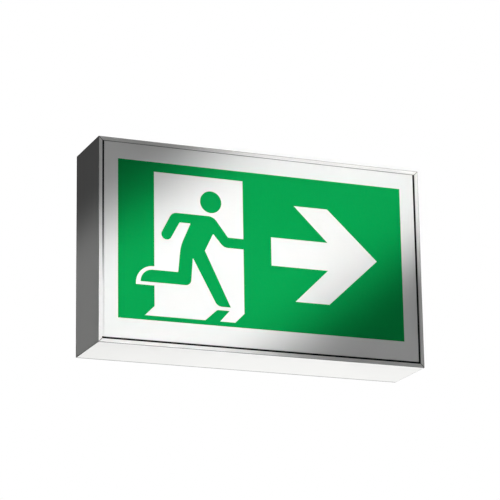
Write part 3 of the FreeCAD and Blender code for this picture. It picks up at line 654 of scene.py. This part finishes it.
# spirals of the screws and the barrel, a little inside their skins, and the screws' heads
SCREW_SPIRAL = 1.9 * MM
BARREL_SPIRAL = 5.85 * MM
HEAD_RADIUS = 3.8 * MM
SCREW_PITCH = 0.7 * MM
BARREL_PITCH = 1.0 * MM
# the three ways that a rod points
UPRIGHT = (0.0, 0.0, 0.0)
TO_FRONT = (math.pi / 2, 0.0, 0.0)
TO_RIGHT = (0.0, math.pi / 2, 0.0)

# %% Threads where the rods are bare
stud = Room("earth_stud")
nut_end = Room("earth_nut").low[1]
spot = (stud.middle[0], nut_end - END, stud.middle[2])
thread.make("earth_stud_thread", [spot], brass, "case", "brass",
            Rod_Radius=stud.half[0] - SINK, Length=nut_end - stud.low[1] - 2 * END,
            Pitch=SCREW_PITCH, Turn=TO_FRONT)

screws = Room("fixing_screws")
foot = screws.low[2] + END
columns = (screws.low[0] + HEAD_RADIUS, screws.high[0] - HEAD_RADIUS)
thread.make("fixing_screw_threads", [(x, screws.middle[1], foot) for x in columns],
            zinc_plate, "case", "fixings", Rod_Radius=SCREW_SPIRAL,
            Length=Room("captive_nuts").low[2] - screws.low[2] - 2 * END,
            Pitch=SCREW_PITCH, Turn=UPRIGHT)

barrel_start = Room("switch_barrel").low[0]
bare = Room("switch_nut").low[0] - barrel_start
thread.make("switch_barrel_thread", [(barrel_start + END, switch_y, switch_z)],
            black_moulding, "case", "switch_black", Rod_Radius=BARREL_SPIRAL,
            Length=bare - 2 * END, Pitch=BARREL_PITCH, Turn=TO_RIGHT)

# %% [markdown]
# ## Terminal screws
# The three clamping screws are plain discs in the CAD model. The real ones have a slot for a
# screwdriver, and no two stop at the same angle. The recipe cuts a bar out of a low cylinder
# and turns each copy by a random angle with a fixed seed. The slot's width and length are shares
# of the head's radius, and the height of the bar that cuts it is a share of the head's height.

# %% Slotted screws
MOST_TURN = 1.2
SLOT_LENGTH, SLOT_WIDTH = 3.0, 0.28
BAR_HEIGHT = 0.7

slotted = Recipe("slotted_screw", Radius="Float", Height="Float", Seed="Int")
head = slotted.node("GeometryNodeMeshCylinder", {}, {
    "Vertices": 32,
    "Radius": slotted.size("Radius"),
    "Depth": slotted.size("Height"),
})
bar_size = slotted.node("ShaderNodeCombineXYZ", {}, {
    "X": slotted.size("Radius") * SLOT_LENGTH,
    "Y": slotted.size("Radius") * SLOT_WIDTH,
    "Z": slotted.size("Height") * BAR_HEIGHT,
})
bar = slotted.node("GeometryNodeMeshCube", {}, {"Size": bar_size})
lift = slotted.node("ShaderNodeCombineXYZ", {}, {"Z": slotted.size("Height") * 0.5})
bar = slotted.node("GeometryNodeTransform", {}, {"Geometry": bar, "Translation": lift})
cut = {"operation": "DIFFERENCE"}
head = slotted.node("GeometryNodeMeshBoolean", cut, {"Mesh 1": head, "Mesh 2": bar})
angle = slotted.node("FunctionNodeRandomValue", {"data_type": "FLOAT_VECTOR"}, {
    0: (math.pi / 2, -MOST_TURN, 0.0),
    1: (math.pi / 2, MOST_TURN, 0.0),
    "Seed": slotted.size("Seed"),
})
slotted.on_points(head, Rotation=angle)
print("slotted screw recipe:", len(slotted.tree.nodes), "nodes")

# %% Three terminal screws
room = Room("terminal_screws")
x, y, z = room.middle
radius = room.half[2]
reach = room.half[0] - radius
spots = [(x + share * reach, y, z) for share in (-1, 0, 1)]
clamps = slotted.make("slotted_terminal_screws", spots, brass, "case", "brass",
                      Radius=radius, Height=2 * room.half[1], Seed=4)
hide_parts("terminal_screws")

# %% [markdown]
# ## Camera
# A long lens far away keeps the edges of the box nearly parallel. It stands to the left of the
# sign and below it, as a person does who looks up at a sign over a door, and leans by under one
# degree. The place is given by an angle round the sign, an angle above it and a distance, and
# the picture is then slid a little sideways and up.

# %% Camera
TURN = math.radians(-22.298)
LIFT = math.radians(-16.076)
LEAN = math.radians(-0.9165)
DISTANCE = 2.4746
SLIDE_SIDE = -0.01222
SLIDE_UP = -0.0218
LENS_MM = 172.96
SENSOR_MM = 36.0
FAR_CLIP = 200.0

away = Vector((math.sin(TURN) * math.cos(LIFT), -math.cos(TURN) * math.cos(LIFT), math.sin(LIFT)))
level_right = (-away).cross(Vector((0, 0, 1))).normalized()
level_up = level_right.cross(-away)
camera_right = math.cos(LEAN) * level_right + math.sin(LEAN) * level_up
camera_up = -math.sin(LEAN) * level_right + math.cos(LEAN) * level_up
eye = away * DISTANCE - camera_right * SLIDE_SIDE - camera_up * SLIDE_UP

camera_data = bpy.data.cameras.new("camera")
camera_data.lens = LENS_MM
camera_data.sensor_width = SENSOR_MM
camera_data.clip_end = FAR_CLIP
camera = bpy.data.objects.new("camera", camera_data)
collection.objects.link(camera)
stance = Matrix((camera_right, camera_up, away)).transposed()
camera.matrix_world = Matrix.Translation(eye) @ stance.to_4x4()
bpy.context.scene.camera = camera
print("camera at", [round(v, 3) for v in eye])

# %% [markdown]
# ## Studio
# The floor lies well below the sign, so that the sign can be looked at from every side, even from
# underneath. It throws no light on the sign. The background is plain white for the camera and
# almost black for everything else, which leaves the shading to the lamps.

# %% Floor
FLOOR_LEVEL = -2.6
FLOOR_HALF = 60.0
PURE_WHITE = (1.0, 1.0, 1.0)

around = ((-1, -1), (1, -1), (1, 1), (-1, 1))
corners = [(x * FLOOR_HALF, y * FLOOR_HALF, FLOOR_LEVEL) for x, y in around]
floor_mesh = bpy.data.meshes.new("floor")
floor_mesh.from_pydata(corners, [], [(0, 1, 2, 3)])
floor = bpy.data.objects.new("floor", floor_mesh)
collection.objects.link(floor)

pale = Finish("pale_floor", Base_Color=(0.88, 0.88, 0.87), Emission_Color=PURE_WHITE,
              Emission_Strength=0.12)
dust = pale.noise(scale=3.0, detail=2.0)
pale.set("Roughness", 0.9 + dust.swing(0.1))
floor_mesh.materials.append(pale.material)
floor.visible_diffuse = False
floor.visible_glossy = False
print("floor at", FLOOR_LEVEL, "m")

# %% Background
AMBIENT = 0.058

world = bpy.data.worlds.new("studio")
world.use_nodes = True
bpy.context.scene.world = world
studio = Tree(world.node_tree)
studio.tree.nodes.clear()
dim = studio.node("ShaderNodeBackground", {}, {"Color": PURE_WHITE, "Strength": AMBIENT})
bright = studio.node("ShaderNodeBackground", {}, {"Color": PURE_WHITE, "Strength": 1.0})
seen = studio.node("ShaderNodeLightPath", {}, {}, "Is Camera Ray")
either = studio.node("ShaderNodeMixShader", {}, {0: seen, 1: dim, 2: bright})
studio.feed(studio.tree.nodes.new("ShaderNodeOutputWorld").inputs["Surface"], either)
bpy.context.scene.view_settings.view_transform = "Standard"
print("background lights the sign with", AMBIENT, "of its white")

# %% [markdown]
# ## Lamps
# Five lamps are softboxes, and one is a sun. With a grid in front of it, a softbox throws an even
# patch about its own size with soft edges, and the finer the grid, the sharper the edge. One
# long softbox throws a slanting band across the legend, a weak one crosses it, a large one
# without a grid fills the rest of the front, one lights the underside and one the lower half of
# the left side. The sun, from above and behind, lights the top, the back and the right side.

# %% A softbox
def softbox(name, at, facing, size, watts, grid=180.0, roll=0.0):
    """A rectangular lamp; grid and roll are in degrees, and 180 is no grid at all."""
    data = bpy.data.lights.new(name, "AREA")
    data.shape = "RECTANGLE"
    data.size, data.size_y = size
    data.energy = watts
    data.spread = math.radians(grid)
    lamp = bpy.data.objects.new(name, data)
    collection.objects.link(lamp)
    look = Vector(facing).to_track_quat("-Z", "Y").to_matrix().to_4x4()
    lamp.matrix_world = Matrix.Translation(at) @ look @ Matrix.Rotation(math.radians(roll), 4, "Z")
    lamp.visible_camera = False
    print(f"{name}: {watts} W")


# %% Five softboxes
BACKWARD = (0.0, 1.0, 0.0)
RIGHTWARD = (1.0, 0.0, 0.0)

softbox("band_lamp", at=(-0.0073, -1.4, 0.0099), facing=BACKWARD, size=(0.9, 0.189),
        watts=0.4255, grid=4.8, roll=36.4)
softbox("cross_lamp", at=(-0.016, -1.4, -0.0394), facing=BACKWARD, size=(0.9, 0.154),
        watts=0.0264, grid=4.47, roll=-22.1)
softbox("front_lamp", at=(0.3, -1.8, 2.0), facing=(-0.3, 1.8, -2.0), size=(0.8, 0.8), watts=15.8)
softbox("under_lamp", at=(0.08, 0.15, -1.1), facing=(-0.05, -0.15, 1.0), size=(0.5, 0.4),
        watts=12.5)
softbox("left_lamp", at=(-1.2, -0.035, -0.131), facing=RIGHTWARD, size=(0.3, 0.3),
        watts=0.0415, grid=5.15)

# %% A sun above and behind
SUN_STRENGTH = 2.8
SUN_WIDTH = math.radians(12.0)
TO_SUN = Vector((0.5, 0.55, 0.75))

sun_data = bpy.data.lights.new("high_lamp", "SUN")
sun_data.energy = SUN_STRENGTH
sun_data.angle = SUN_WIDTH
sun = bpy.data.objects.new("high_lamp", sun_data)
collection.objects.link(sun)
sun.matrix_world = TO_SUN.to_track_quat("Z", "Y").to_matrix().to_4x4()
print("high_lamp:", SUN_STRENGTH, "watts a square metre")
